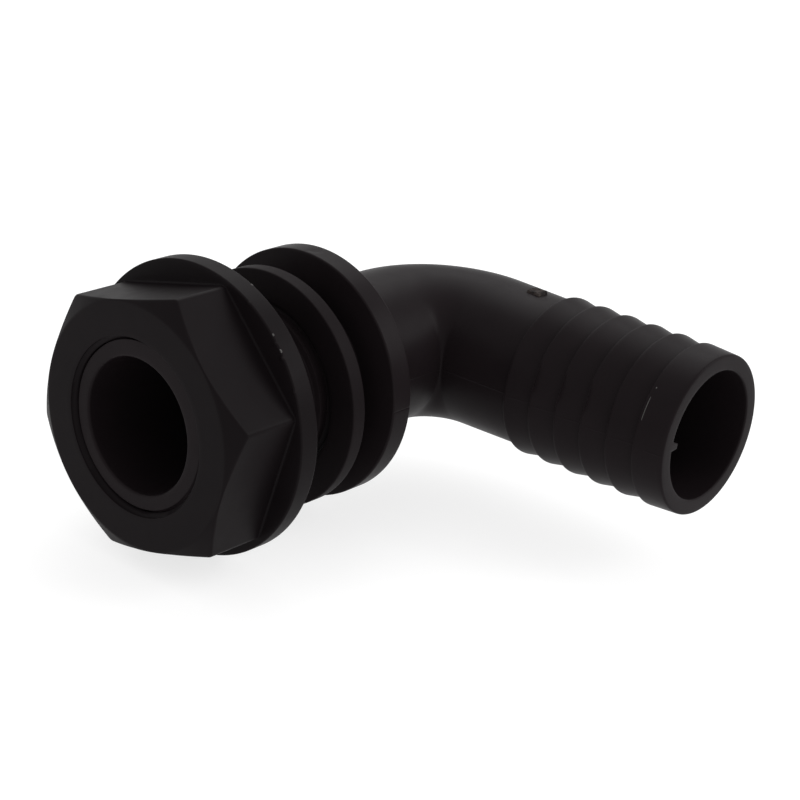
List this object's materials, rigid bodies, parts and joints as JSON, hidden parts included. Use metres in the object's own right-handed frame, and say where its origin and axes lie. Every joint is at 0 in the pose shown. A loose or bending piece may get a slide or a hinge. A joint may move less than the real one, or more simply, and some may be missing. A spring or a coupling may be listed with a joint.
{
  "type": "thru hull fitting",
  "caption": "Ninety degree elbow thru hull fitting with a threaded shank, a flat gasket, a flanged hex nut and a barbed hose tail.",
  "frame": {"origin": "on the thread axis, in the plane of the body flange's sealing face", "axes": "-X out of the threaded inlet through the nut, +X towards the elbow, -Y out of the hose tail's mouth, +Z square to both"},
  "size_m": [0.089, 0.0869, 0.0504],
  "materials": {
    "body_plastic": "satin black moulded plastic",
    "gasket_rubber": "matt black rubber sheet",
    "nut_plastic": "satin black moulded plastic"
  },
  "bodies": {
    "elbow_body": {"elbow_body": "body_plastic"},
    "gasket": {"gasket": "gasket_rubber"},
    "flange_nut": {"flange_nut": "nut_plastic"}
  },
  "joints": [
    {"name": "gasket_travel", "type": "slide", "parent": "elbow_body", "child": "gasket", "axis": [1, 0, 0], "range_m": [-0.0105, 0.0057]},
    {"name": "nut_turn", "type": "hinge", "parent": "gasket", "child": "flange_nut", "pos_m": [-0.03, 0, 0], "axis": [1, 0, 0], "range_deg": [-1260, 684]}
  ],
  "couplings": [
    {"joint": "gasket_travel", "follows": "nut_turn", "m_per_rad": 0.00047746}
  ]
}
